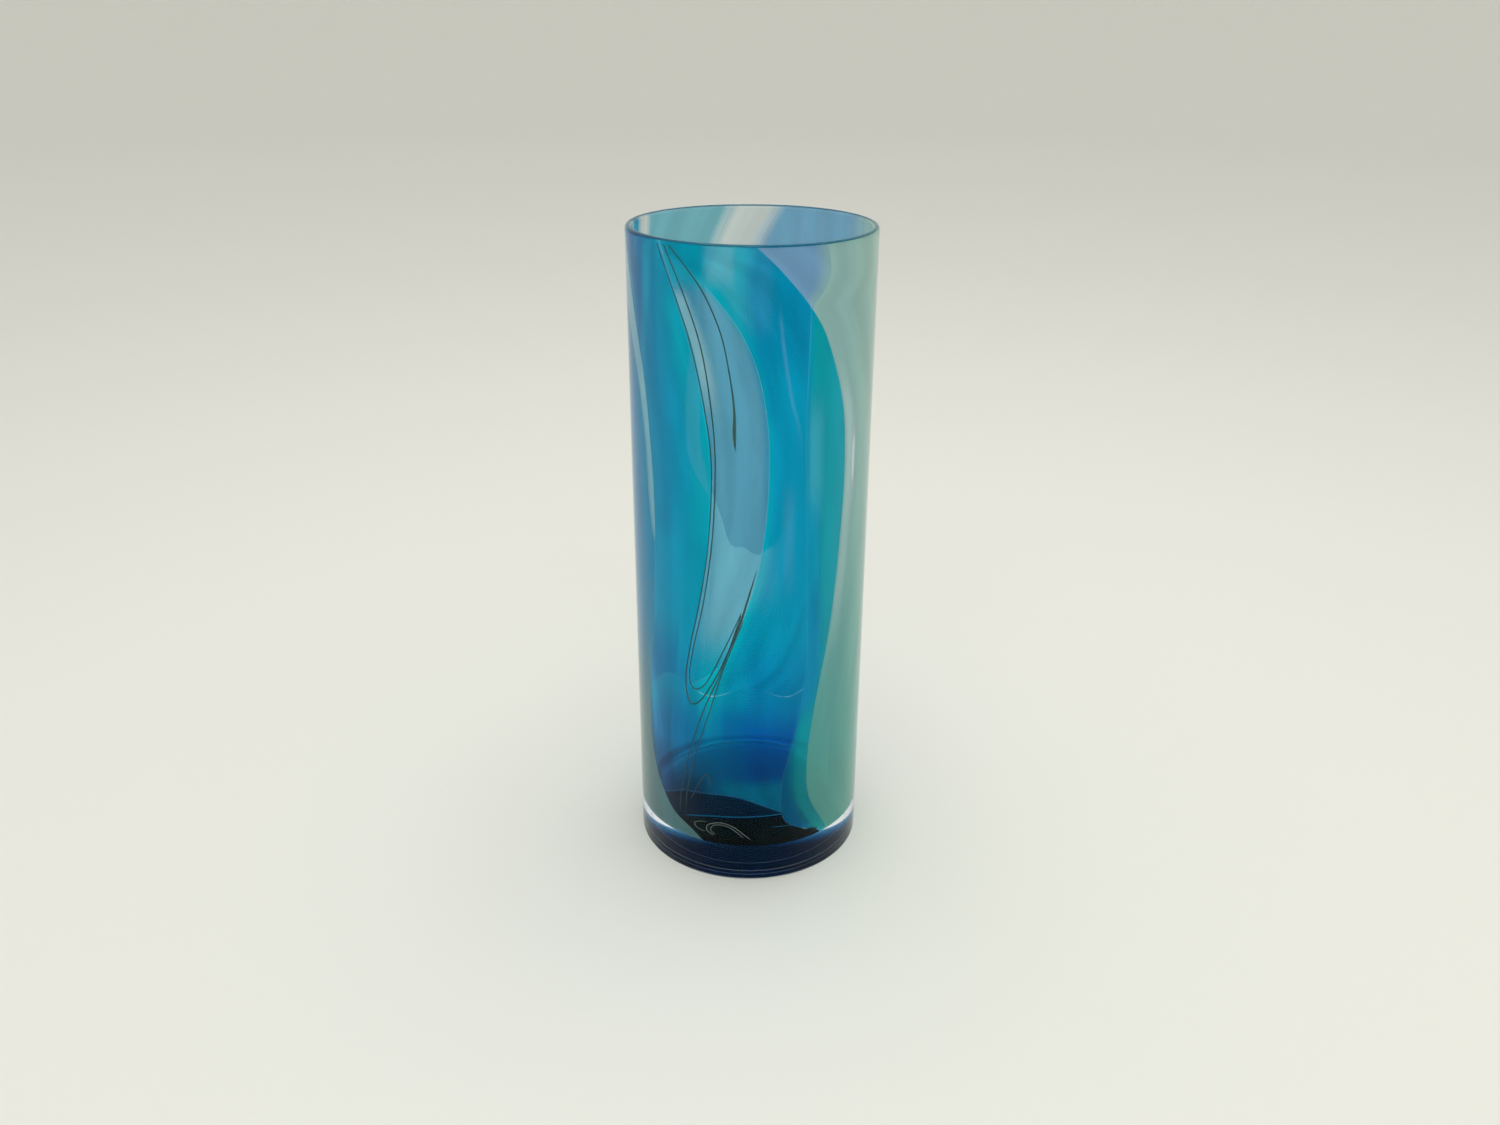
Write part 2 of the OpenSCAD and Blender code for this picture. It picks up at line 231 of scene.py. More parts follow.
def spline(points, steps):
    """A smooth curve through every point, as an array with steps rows for each stretch."""
    p = np.array(points, float)
    padded = np.vstack([p[:1], p, p[-1:]])
    out = []
    for a, b, c, d in zip(padded, padded[1:], padded[2:], padded[3:]):
        for t in np.arange(steps) / steps:
            out.append(0.5 * (2 * b + (c - a) * t + (2 * a - 5 * b + 4 * c - d) * t * t
                              + (3 * b - a - 3 * c + d) * t ** 3))
    return np.array(out + [p[-1]])


def edge_angle(name):
    """An upright line as a function: share of the height to angle."""
    curve = spline(EDGES.get(name) or FOLDS_AND_SHADOW_LINES[name], SPLINE_STEPS)[::-1]
    return lambda share: float(np.interp(share, curve[:, 1], curve[:, 0]))


def level_share(name, turn=0.0):
    """A level line as a function: angle to share of the height. turn counts its angles on by that much."""
    curve = spline(LEVELS.get(name) or FOLD_AND_GLINT_LEVELS[name], SPLINE_STEPS)
    return lambda angle: float(np.interp(angle - turn, curve[:, 0], curve[:, 1]))


def crossing(a, b, low, high):
    """The share of the height between low and high at which two upright edges cross."""
    for _ in range(HALVINGS):
        middle = (low + high) / 2
        if (a(low) - b(low)) * (a(middle) - b(middle)) <= 0:
            high = middle
        else:
            low = middle
    return low


def clamped(value):
    return min(max(value, 0), 1)


def place(angle, radius, z):
    """A point at an angle round the vase, counted in degrees from the front towards +X."""
    a = math.radians(angle)
    return Vector((radius * math.sin(a), -radius * math.cos(a), z))


def along_cup(run, depth):
    """(radius, height) at a distance run from the floor's edge up the colour layer, and at a depth below
    its outside."""
    if run >= CORNER_RUN:
        return COLOUR_R - depth, COLOUR_Z + CORNER_R + run - CORNER_RUN
    turn = run / CORNER_R
    curve = CORNER_R - depth
    return FLOOR_R + curve * math.sin(turn), COLOUR_Z + CORNER_R - curve * math.cos(turn)


def run_at(share):
    """The distance along the colour layer at which it is at this share of the height."""
    z = share * HEIGHT
    if z >= COLOUR_Z + CORNER_R:
        return min(CORNER_RUN + z - COLOUR_Z - CORNER_R, WALL_TOP)
    return CORNER_R * math.acos(clamped((COLOUR_Z + CORNER_R - z) / CORNER_R))


def arc(centre, radius, start, end, steps):
    """Points on an arc in a section, both ends included. Angles are in degrees."""
    turns = [math.radians(start + (end - start) * i / steps) for i in range(steps + 1)]
    return [(centre[0] + radius * math.cos(a), centre[1] + radius * math.sin(a)) for a in turns]


def upright(radius, low, high, steps):
    """Points on an upright line in a section, both ends included."""
    return [(radius, low + (high - low) * i / steps) for i in range(steps + 1)]


def with_index(points, index):
    """Section points with the material of the stretch that follows each."""
    return [(*p, index) for p in points]


# ---------------------------------------------------------------- meshes

def new_object(name, bm, materials):
    """Puts a finished mesh into the scene."""
    mesh = bpy.data.meshes.new(name)
    bm.to_mesh(mesh)
    bm.free()
    for material in materials:
        mesh.materials.append(material)
    made = bpy.data.objects.new(name, mesh)
    bpy.context.scene.collection.objects.link(made)
    return made


def add_bubble(bm, centre, radius):
    """A bubble inside a piece: a small ball that is turned inside out."""
    ball = bmesh.ops.create_icosphere(bm, subdivisions=2, radius=radius, matrix=Matrix.Translation(centre))
    faces = list(dict.fromkeys(face for vert in ball["verts"] for face in vert.link_faces))
    bmesh.ops.reverse_faces(bm, faces=faces)
    for face in faces:
        face.smooth = True


def new_piece(name, bm, materials, bubbles=()):
    """A piece of the vase, in place of the CAD node of the same name. bubbles are (centre, radius)."""
    bmesh.ops.recalc_face_normals(bm, faces=bm.faces)
    for centre, radius in bubbles:
        add_bubble(bm, centre, radius)
    piece = new_object(name, bm, materials)
    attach(piece, "root")
    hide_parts(name)


def unevenness(spot):
    """How far the blown wall wavers in or out at a spot, as a share of WAVE."""
    grown = clamped((spot.z - WAVE_LOW) / WAVE_GROWS)
    left = clamped((HEIGHT - CALM_LIP - spot.z) / WAVE_FADES)
    wave = noise.noise(Vector((spot.x * WAVES_ROUND, spot.y * WAVES_ROUND, spot.z * WAVES_UP)))
    return grown * left * (wave - 0.5)


def new_ring(bm, radius, z, steps, wave=0.0):
    """A ring of points round the axis, or a single point on it."""
    if radius < SKIN:
        return [bm.verts.new((0, 0, z))]
    ring = []
    for k in range(steps):
        turn = 360 * k / steps
        wavering = wave * unevenness(place(turn, radius, z))
        ring.append(bm.verts.new(place(turn, radius + wavering, z)))
    return ring


def join_rings(bm, rings, steps, indices):
    """Faces between each ring and the next, with a material index for each of those stretches."""
    for lower, upper, index in zip(rings, rings[1:], indices):
        for k in range(steps):
            n = (k + 1) % steps
            corners = [lower[k % len(lower)], lower[n % len(lower)]]
            corners += [upper[n % len(upper)], upper[k % len(upper)]]
            face = bm.faces.new(list(dict.fromkeys(corners)))
            face.material_index = index
            face.smooth = True


def turned(name, materials, section, wave=0.0, bubbles=()):
    """A closed solid turned round the axis from a section that starts and ends on the axis. Its points are
    (distance from the axis, height, material index of the stretch that follows)."""
    bm = bmesh.new()
    rings = [new_ring(bm, radius, z, ROUND_STEPS, wave) for radius, z, _ in section]
    join_rings(bm, rings, ROUND_STEPS, [index for _, _, index in section])
    new_piece(name, bm, materials, bubbles)


class Patch:
    """A part of the colour layer between two upright edges and two level ones. left and right give an
    angle at a share of the height, bottom and top give a share at an angle. low and high are the lowest
    and the highest share, and need only be roughly right where bottom or top is given."""

    def __init__(self, left, right, bottom=None, top=None, low=FLOOR_SHARE, high=1.0, inner_lines=()):
        self.left = left
        self.right = right
        self.bottom = bottom or (lambda angle: low)
        self.top = top or (lambda angle: high)
        self.low = low
        self.high = high
        self.at_lip = high == 1.0
        self.inner_lines = {inner_line: (edge_angle if inner_line in FOLDS_AND_SHADOW_LINES else level_share)(inner_line) for inner_line in inner_lines}

    def columns(self):
        """How many faces the mesh is wide."""
        middle = (self.low + self.high) / 2
        width = math.radians(self.right(middle) - self.left(middle)) * COLOUR_R
        return max(FEWEST_COLUMNS, int(width / COLUMN))

    def levels(self):
        """How far up each row of the mesh is, from 0 to 1. A piece at the lip ends in a narrow row."""
        length = run_at(self.high) - run_at(self.low)
        rows = max(FEWEST_ROWS, int(length / ROW))
        levels = [j / rows for j in range(rows + 1)]
        if self.at_lip:
            levels.insert(rows, 1 - RIM_DEPTH / length)
        return levels

    def spot(self, across, up):
        """(angle, run, share) at a place in the patch that is given from 0 to 1 each way."""
        share = self.low + (self.high - self.low) * up
        for _ in range(SETTLE):
            angle = self.left(share) + (self.right(share) - self.left(share)) * across
            run = run_at(self.bottom(angle)) * (1 - up) + run_at(self.top(angle)) * up
            share = along_cup(run, 0)[1] / HEIGHT
        return angle, run, share

    def values(self, angle, share):
        """What the materials read at a spot. All but the angle and the share are distances in mm: how far
        it is from each side, to the right of each upright inner line and above each level one. The inner
        lines are folds, a painted shadow and painted glints."""
        found = {
            "angle": angle,
            "share": share,
            "to_left": (angle - self.left(share)) * MM_PER_DEGREE,
            "to_right": (self.right(share) - angle) * MM_PER_DEGREE,
            "to_bottom": (share - self.bottom(angle)) * HEIGHT / MM,
            "to_top": (self.top(angle) - share) * HEIGHT / MM,
        }
        for inner_line, line in self.inner_lines.items():
            if inner_line in FOLDS_AND_SHADOW_LINES:
                found[inner_line] = (angle - line(share)) * MM_PER_DEGREE
            else:
                found[inner_line] = (share - line(angle)) * HEIGHT / MM
        return found


def patch_points(bm, patch):
    """The mesh's points on the outside and the inside of the layer, as two grids of rows."""
    columns = patch.columns()
    layers = {key: bm.verts.layers.float.new(key) for key in patch.values(0, FLOOR_SHARE)}
    outside, inside = [], []
    for up in patch.levels():
        outside.append([])
        inside.append([])
        for i in range(columns + 1):
            angle, run, share = patch.spot(i / columns, up)
            angle += math.degrees(SKIN / COLOUR_R) * (1 - 2 * i / columns)
            run += SKIN * (1 - 2 * up)
            values = patch.values(angle, share)
            for grid, depth in ((outside, SKIN), (inside, COLOUR_T - SKIN)):
                vert = bm.verts.new(place(angle, *along_cup(run, depth)))
                for key, layer in layers.items():
                    vert[layer] = values[key]
                grid[-1].append(vert)
    return outside, inside


def patch_sides(bm, outside, inside, at_lip):
    """The faces on the outside and the inside of the layer. At the lip the outside's top row is dark."""
    rows, columns = len(outside) - 1, len(outside[0]) - 1
    for j in range(rows):
        for i in range(columns):
            for grid, index in ((outside, OWN), (inside, FUSED_SIDE)):
                face = bm.faces.new((grid[j][i], grid[j][i + 1], grid[j + 1][i + 1], grid[j + 1][i]))
                face.smooth = True
                dark = at_lip and j == rows - 1 and index == OWN
                face.material_index = RIM_SIDE if dark else index


def patch_edges(bm, outside, inside, at_lip):
    """The narrow faces round the patch, from the layer's outside to its inside. Their edges stay sharp."""
    rows, columns = len(outside) - 1, len(outside[0]) - 1
    rim = [(0, i) for i in range(columns)] + [(j, columns) for j in range(rows)]
    rim += [(rows, i) for i in range(columns, 0, -1)] + [(j, 0) for j in range(rows, 0, -1)]
    for (j, i), (m, n) in zip(rim, rim[1:] + rim[:1]):
        face = bm.faces.new((outside[j][i], inside[j][i], inside[m][n], outside[m][n]))
        face.material_index = RIM_SIDE if at_lip and j == m == rows else FUSED_SIDE
        for a, b in ((outside[j][i], outside[m][n]), (inside[j][i], inside[m][n])):
            bm.edges.get((a, b)).smooth = False


def patch_piece(name, materials, patch):
    """A closed solid in the shape of a patch of the colour layer."""
    bm = bmesh.new()
    outside, inside = patch_points(bm, patch)
    patch_sides(bm, outside, inside, patch.at_lip)
    patch_edges(bm, outside, inside, patch.at_lip)
    bmesh.ops.dissolve_degenerate(bm, dist=SKIN / 4, edges=bm.edges)
    new_piece(name, bm, materials)


# ---------------------------------------------------------------- materials

# How much of a square view's reflection is kept, on the outside and in the cavity
GLINT = 0.1
INNER_GLINT = 0.8
WORN_AND_SHEEN_WHITE = 0.35                           # how much of that glass is scratched white: partly wear, partly painted sheen
RIM_OPAL = 0.6
CLOUDS_ACROSS = 0.12                        # clouds to the mm across, and to the vase's height
CLOUDS_UP = 4.0
CLOUD_SHADE = 0.86                          # what the darkest cloud lets through
FINE = 0.4                                  # widths of a fine and of a wide thread in mm
WIDE = 0.8


def new_material(name):
    material = bpy.data.materials.new(name)
    material.use_nodes = True
    material.node_tree.nodes.clear()
    return material, material.node_tree


def link_or_set(tree, socket, value):
    """Links a socket to another one, or gives it a value."""
    if isinstance(value, bpy.types.NodeSocket):
        tree.links.new(value, socket)
    elif isinstance(value, tuple) and socket.type == "RGBA":
        socket.default_value = (*value, 1)
    else:
        socket.default_value = value


def node(tree, kind, links=None, **values):
    """A shader node. links sets or links its inputs by name or number, and values sets its properties."""
    made = tree.nodes.new("ShaderNode" + kind)
    for key, value in values.items():
        setattr(made, key, value)
    for key, value in (links or {}).items():
        link_or_set(tree, made.inputs[key], value)
    return made


def attribute(tree, name):
    return node(tree, "Attribute", attribute_name=name).outputs["Fac"]


def product(tree, a, b):
    return node(tree, "Math", {0: a, 1: b}, operation="MULTIPLY").outputs[0]


def fade(tree, value, start, end, low=0.0, high=1.0):
    """A smooth change from low at start to high at end."""
    limits = {"Value": value, "From Min": start, "From Max": end, "To Min": low, "To Max": high}
    return node(tree, "MapRange", limits, interpolation_type="SMOOTHSTEP").outputs["Result"]


def mixed(tree, factor, a, b, blend="MIX"):
    """A mix of two colours. A mix node's colours are its inputs 6 and 7 and its output 2."""
    made = node(tree, "Mix", data_type="RGBA", blend_type=blend, clamp_factor=True)
    for number, value in ((0, factor), (6, a), (7, b)):
        link_or_set(tree, made.inputs[number], value)
    return made.outputs[2]


def mixed_number(tree, factor, a, b):
    return node(tree, "Mix", {0: factor, 2: a, 3: b}, data_type="FLOAT").outputs[0]


def mixed_shader(tree, factor, a, b):
    return node(tree, "MixShader", {0: factor, 1: a, 2: b}).outputs[0]


def transparent(tree, colour):
    return node(tree, "BsdfTransparent", {"Color": colour}).outputs[0]


def diffuse(tree, colour):
    return node(tree, "BsdfDiffuse", {"Color": colour}).outputs[0]


def output(tree, surface):
    made = tree.nodes.new("ShaderNodeOutputMaterial")
    tree.links.new(surface, made.inputs["Surface"])
    return made


def clear_glass(name, gloss, worn_and_sheen=0.0):
    """Polished glass where it meets the air. Lamps and soft light reach what lies behind it. gloss is how
    much of a square view's reflection is kept, and the third argument is how much of the glass is
    scratched
    white: partly wear, partly painted sheen."""
    material, tree = new_material(name)
    polished = {"Base Color": (0.985, 0.995, 0.99), "Roughness": 0.0, "IOR": 1.5,
                "Transmission Weight": 1.0, "Specular Tint": (gloss, gloss, gloss)}
    glass = node(tree, "BsdfPrincipled", polished).outputs[0]
    if worn_and_sheen:
        glass = mixed_shader(tree, worn_and_sheen, glass, diffuse(tree, (0.75, 0.8, 0.8)))
    through = transparent(tree, (0.98, 0.99, 0.985))
    path = node(tree, "LightPath").outputs
    soft = mixed_shader(tree, path["Is Shadow Ray"], glass, through)
    output(tree, mixed_shader(tree, path["Is Diffuse Ray"], soft, through))
    return material


def fused_glass():
    """A face inside the vase, where glass is fused to glass: nothing bends there."""
    material, tree = new_material("fused_glass")
    output(tree, transparent(tree, (1.0, 1.0, 1.0)))
    return material


def rim_glass():
    """The colour layer seen edge on at the lip: a fine dark line."""
    material, tree = new_material("rim_glass")
    through = transparent(tree, (0.08, 0.4, 0.55))
    milk = diffuse(tree, (0.0, 0.12, 0.2))
    output(tree, mixed_shader(tree, RIM_OPAL, through, milk))
    return material


def deep_glass(name, once):
    """Glass tinted all through. once is what it lets through straight across the colour layer."""
    material, tree = new_material(name)
    taken = [-math.log(share) / COLOUR_T for share in once]
    density = max(taken)
    colour = tuple(1 - t / density for t in taken)
    volume = node(tree, "VolumeAbsorption", {"Color": colour, "Density": density}).outputs[0]
    made = output(tree, transparent(tree, (1.0, 1.0, 1.0)))
    tree.links.new(volume, made.inputs["Volume"])
    return material


# Each glass: what it lets through once, its own colour, and how opal it is
GLASSES = {
    "turquoise": ((0.0, 0.54, 0.85), (0.0, 0.5, 0.68), 0.12),
    "lagoon": ((0.0, 0.66, 0.94), (0.0, 0.62, 0.85), 0.14),
    "surf": ((0.0, 0.92, 1.0), (0.0, 0.86, 1.0), 0.22),
    "aqua": ((0.12, 0.86, 0.93), (0.15, 0.77, 0.8), 0.27),
    "azure": ((0.0, 0.77, 0.97), (0.0, 0.71, 0.86), 0.15),
    "sapphire": ((0.0, 0.63, 0.88), (0.0, 0.58, 0.72), 0.14),
    "petrol": ((0.0, 0.36, 0.68), (0.0, 0.3, 0.5), 0.12),
    "veil": ((0.18, 0.58, 0.84), (0.25, 0.55, 0.76), 0.18),
    "mist": ((0.28, 0.77, 1.0), (0.38, 0.74, 0.95), 0.2),
    "emerald": ((0.0, 0.74, 0.75), (0.0, 0.67, 0.66), 0.32),
    "cobalt": ((0.0, 0.44, 0.86), (0.0, 0.37, 0.65), 0.15),
    "ultramarine": ((0.0, 0.29, 0.86), (0.0, 0.24, 0.66), 0.15),
    "ink": ((0.0, 0.19, 0.5), (0.0, 0.15, 0.36), 0.15),
    "navy": ((0.0, 0.06, 0.15), (0.0, 0.035, 0.08), 0.25),
    "midnight": ((0.0, 0.025, 0.035), (0.0, 0.008, 0.008), 0.2),
    # not a glass of its own: the pale blue of the painted glints in the heel
    "glint": ((0.0, 0.3, 0.6), (0.02, 0.4, 0.75), 0.9),
    "jade": ((0.5, 0.73, 0.66), (0.5, 0.71, 0.63), 0.75),
    "deep_jade": ((0.2, 0.62, 0.53), (0.2, 0.6, 0.5), 0.75),
    "shoulder": ((0.37, 0.61, 0.86), (0.39, 0.6, 0.82), 0.5),
    "periwinkle": ((0.28, 0.55, 0.82), (0.23, 0.48, 0.72), 0.65),
    "white": ((0.9, 0.92, 0.92), (0.82, 0.84, 0.84), 0.6),
    "milk": ((0.9, 0.98, 0.92), (0.85, 0.97, 0.88), 0.8),
    # the white of a painted highlight on the jade panel
    "painted_highlight_white": ((1.0, 1.0, 1.0), (0.95, 0.97, 0.93), 0.95),
    "haze": ((0.5, 0.82, 0.92), (0.5, 0.78, 0.88), 0.6),
    "frost": ((0.42, 0.72, 0.84), (0.4, 0.66, 0.77), 0.6),
    "seafoam": ((0.27, 0.66, 0.78), (0.25, 0.58, 0.7), 0.55),
    "sky": ((0.0, 0.44, 0.74), (0.0, 0.36, 0.6), 0.6),
    "celadon": ((0.22, 0.4, 0.42), (0.2, 0.36, 0.37), 0.7),
}


def blended(tree, glass, blends):
    """A glass's three values, with other glasses mixed in."""
    tint, body, opal = GLASSES[glass]
    for other, most, limits in blends:
        factor = most
        for attribute_name, start, full in limits:
            part = fade(tree, attribute(tree, attribute_name), start, full)
            factor = product(tree, part, factor)
        tint = mixed(tree, factor, tint, GLASSES[other][0])
        body = mixed(tree, factor, body, GLASSES[other][1])
        opal = mixed_number(tree, factor, opal, GLASSES[other][2])
    return tint, body, opal


def clouds(tree):
    """A soft unevenness of the colour, as a grey to multiply it by."""
    across = product(tree, attribute(tree, "to_left"), CLOUDS_ACROSS)
    up = product(tree, attribute(tree, "share"), CLOUDS_UP)
    where = node(tree, "CombineXYZ", {0: across, 1: up}).outputs[0]
    cloud = node(tree, "TexNoise", {"Vector": where, "Scale": 1.0, "Detail": 4.0}).outputs["Fac"]
    shade = fade(tree, cloud, start=0.3, end=0.7, low=CLOUD_SHADE)
    return node(tree, "CombineColor", {0: shade, 1: shade, 2: shade}).outputs[0]


def colour_glass(name, glass, blends=()):
    """Coloured glass seen through its outside face. blends lists (other glass, most of it that is mixed
    in, limits), and each limit is (attribute, value where it starts, value where it is full)."""
    material, tree = new_material(name)
    tint, body, opal = blended(tree, glass, blends)
    grey = clouds(tree)
    tint = mixed(tree, 1.0, tint, grey, "MULTIPLY")
    body = mixed(tree, 1.0, body, grey, "MULTIPLY")
    back = node(tree, "BsdfTranslucent", {"Color": body}).outputs[0]
    milk = mixed_shader(tree, 0.5, diffuse(tree, body), back)
    output(tree, mixed_shader(tree, opal, transparent(tree, tint), milk))
    return material


def melt(side, width, other, most=0.5):
    """A blend into the glass beyond one side of a piece. width is in mm."""
    return other, most, [("to_" + side, width, 0.0)]


CLEAR = clear_glass("clear_glass", GLINT)
INNER = clear_glass("inner_glass", INNER_GLINT)
# Scratched white glass: partly real wear, partly painted sheen for reflections and table light in the foot
WORN_AND_SHEEN_GLASS = clear_glass("worn_and_sheen_glass", GLINT, worn_and_sheen=WORN_AND_SHEEN_WHITE)
FUSED = fused_glass()
RIM = rim_glass()


# ---------------------------------------------------------------- casing, liner and floor

def casing():
    """The outer gather: the foot, the outside of the wall, and the lip as far as the liner."""
    section = [(0, 0, OWN)]
    for radius, width in WEAR_AND_SHEEN_RINGS:
        section += [((radius - width / 2) * MM, 0, WORN_AND_SHEEN_SIDE), ((radius + width / 2) * MM, 0, OWN)]
    heel = arc((OUTER_R - HEEL_R, HEEL_R), HEEL_R, -90, 0, HEEL_STEPS)
    section += with_index(heel[:HEEL_WORN_AND_SHEEN], WORN_AND_SHEEN_SIDE)
    air = heel[HEEL_WORN_AND_SHEEN:] + upright(OUTER_R, HEEL_R, LIP[1], OUTSIDE_ROWS)[1:]
    air += arc(LIP, LIP_R, 0, JOIN_TURN, CORNER_STEPS)[1:-1]
    fused = [(LINER_R, JOIN_Z), (LINER_R, COLOUR_TOP + SKIN), (COLOUR_R, COLOUR_TOP + SKIN)]
    fused += arc((FLOOR_R, COLOUR_Z + CORNER_R), CORNER_R, 0, -90, CORNER_STEPS)
    fused += [(FLOOR_R / 2, COLOUR_Z), (0, COLOUR_Z)]
    section += with_index(air, OWN) + with_index(fused, FUSED_SIDE)
    seeds = [(place(angle, (OUTER_R + COLOUR_R) / 2, share * HEIGHT), r * MM) for angle, share, r in SEEDS]
    turned("clear_casing", [CLEAR, FUSED, WORN_AND_SHEEN_GLASS], section, WAVE, seeds)


def liner():
    """The inner gather: the cavity's wall and floor, and the inside of the lip."""
    cavity_corner = CAVITY_R - FLOOR_R
    liner_corner = LINER_R - FLOOR_R
    fused = [(0, LINER_Z + SKIN), (FLOOR_R / 2, LINER_Z + SKIN)]
    fused += arc((FLOOR_R, LINER_Z + liner_corner), liner_corner - SKIN, -90, 0, CORNER_STEPS)
    fused += [(LINER_R - SKIN, COLOUR_TOP)]
    air = [(LINER_R - SKIN, JOIN_Z)] + arc(LIP, LIP_R, JOIN_TURN, 180, CORNER_STEPS)[1:]
    air += upright(CAVITY_R, LIP[1], CAVITY_Z + cavity_corner, CAVITY_ROWS)[1:]
    air += arc((FLOOR_R, CAVITY_Z + cavity_corner), cavity_corner, 0, -90, CORNER_STEPS)[1:]
    air += [(FLOOR_R / 2, CAVITY_Z), (0, CAVITY_Z)]
    section = with_index(fused, FUSED_SIDE) + with_index(air, OWN)
    turned("clear_liner", [INNER, FUSED], section, WAVE)


def colour_floor():
    """The disc of dark blue glass under the cavity, which thins out at its edge."""
    low = COLOUR_Z + SKIN
    high = LINER_Z - SKIN
    edge = low + (high - low) * FLOOR_EDGE
    section = [(0, low), (FLOOR_R / 2, low), (FLOOR_R - SKIN, low), (FLOOR_R - SKIN, edge)]
    section += [(FLOOR_R * FLOOR_FULL, high), (FLOOR_R / 2, high), (0, high)]
    glass = deep_glass("cobalt_floor", once=(0.08, 0.36, 0.5))
    turned("cobalt_floor", [glass], with_index(section, OWN))


casing()
liner()
colour_floor()

# ---------------------------------------------------------------- the colour layer

band_left = edge_angle("band_left")
thread_line = edge_angle("thread_line")
veil_right = edge_angle("veil_right")
emerald_left = edge_angle("emerald_left")
band_right = edge_angle("band_right")
shoulder_right = edge_angle("shoulder_right")
jade_right = edge_angle("jade_right")
ribbon_left = edge_angle("ribbon_left")
ribbon_right = edge_angle("ribbon_right")
streak_left = edge_angle("streak_left")
streak_right = edge_angle("streak_right")
white_edge_left = edge_angle("white_edge_left")
pool_top = level_share("pool_top")
heel_top = level_share("heel_top")
celadon_top = level_share("celadon_top", 360)

VEIL_LOW = 0.34                             # just above the place where the veil's two edges cross
veil_tip = crossing(thread_line, veil_right, 0.9, 1.0)
fringe_tip = crossing(emerald_left, band_right, 0.85, 1.0)
shoulder_foot = crossing(band_right, shoulder_right, 0.9, 0.95)
edge_foot = crossing(white_edge_left, band_left, 0.45, 0.7)


# Sides that follow one edge and then another. A piece that reaches the band from behind has its right side
# a whole turn further on.

def azure_right(share):
    return min(emerald_left(share), band_right(share))


def azure_left(share):
    return max(thread_line(share), veil_right(share))


def jade_left(share):
    if share > shoulder_foot:
        return max(band_right(share), shoulder_right(share))
    return band_right(share)


def sky_right(share):
    if share > edge_foot:
        return min(white_edge_left(share), band_left(share)) + 360
    return band_left(share) + 360


def celadon_right(share):
    return band_left(share) + 360


def colour_piece(name, slot, glass, left, right, blends=(), **bounds):
    """A piece of coloured glass. bounds are its bottom, top, low and high, as Patch takes them."""
    limits = {limit[0] for blend in blends for limit in blend[2]}
    inner_lines = sorted(limits & (FOLDS_AND_SHADOW_LINES.keys() | FOLD_AND_GLINT_LEVELS.keys()))
    materials = [colour_glass(name, glass, blends), FUSED, RIM]
    patch_piece(name, materials, Patch(left, right, inner_lines=inner_lines, **bounds))


# The S-shaped band at the front, from left to right and then down
colour_piece("turquoise_band", "turquoise_glass", "turquoise", band_left, thread_line, [
    ("lagoon", 1.0, [("to_right", 20, 9)]),
    ("surf", 0.45, [("to_right", 10, 5), ("share", 0.44, 0.5), ("share", 0.95, 0.9)]),
    ("lagoon", 0.7, [("share", 0.6, 0.56), ("share", 0.4, 0.46)]),
    ("petrol", 0.5, [("angle", -44, -50), ("share", 0.72, 0.84)]),
    # Painted shadow along a dark line near the left edge
    ("petrol", 0.7, [("dark_seam", -1.4, -0.2), ("dark_seam", 1.0, 0.1)]),
    ("mist", 0.3, [("crescent_left", -0.3, 0.8), ("crescent_right", 0.3, -0.6)]),
    ("mist", 0.6, [("to_right", 1.6, 0.4), ("share", 0.72, 0.84)]),
    ("petrol", 0.75, [("wedge_left", -0.3, 0.6), ("wedge_right", 0.3, -0.6), ("share", 0.46, 0.34)]),
    melt("bottom", 22, "cobalt"),
], bottom=pool_top, low=0.3)
colour_piece("azure_band", "azure_glass", "azure", azure_left, azure_right, [
    ("sapphire", 0.9, [("share", 0.8, 0.87)]),
    ("surf", 0.4, [("ledge", 0.3, -0.5), ("angle", 24, 8), ("share", 0.36, 0.45)]),
    ("mist", 0.35, [("ledge", 0.3, -0.5), ("angle", 16, 8), ("share", 0.46, 0.53)]),
    ("mist", 0.55, [("angle", -23, -18), ("angle", -6, -10), ("share", 0.93, 0.965)]),
    ("mist", 0.18, [("angle", -14, -8), ("angle", 11, 6), ("share", 0.87, 0.91)]),
    ("mist", 0.5, [("feather", -1.2, 0), ("feather", 0.8, 0), ("share", 0.7, 0.8), ("share", 0.93, 0.88)]),
    ("mist", 0.3, [("angle", 14, 17), ("angle", 22, 19), ("share", 0.48, 0.55), ("share", 0.68, 0.63)]),
    ("sapphire", 0.7, [("to_left", 4.5, 2.5), ("share", 0.74, 0.78), ("share", 0.96, 0.93)]),
    melt("bottom", 28, "cobalt"),
    ("surf", 0.5, [("angle", 3, -6), ("share", 0.46, 0.42)]),
], bottom=pool_top, low=0.3)
colour_piece("lavender_veil", "lavender_opal", "veil", thread_line, veil_right, [
    ("mist", 0.9, [("ledge", 0.3, -0.4)]),
    ("haze", 0.85, [("to_left", 7, 2.5), ("share", 0.74, 0.84), ("share", 0.95, 0.92)]),
    ("sapphire", 0.5, [("to_right", 2, 0), ("share", 0.6, 0.7)]),
    ("lagoon", 1.0, [("share", 0.47, 0.37)]),
    ("azure", 0.8, [("share", 0.93, 0.955)]),
], low=VEIL_LOW, high=veil_tip)
colour_piece("emerald_fringe", "emerald_glass", "emerald", emerald_left, band_right, [
    ("aqua", 0.85, [("to_left", 8.5, 4.5), ("share", 0.57, 0.66), ("share", 0.81, 0.74)]),
    ("azure", 1.0, [("to_left", 2.2, 0), ("share", 0.27, 0.4)]),
    ("azure", 0.9, [("to_left", 8, 3), ("share", 0.27, 0.34), ("share", 0.67, 0.59)]),
    ("sapphire", 0.8, [("to_left", 8, 3), ("share", 0.27, 0.34), ("share", 0.54, 0.46)]),
    ("cobalt", 0.85, [("to_right", 3.5, 9.5), ("share", 0.4, 0.27)]),
], high=fringe_tip)
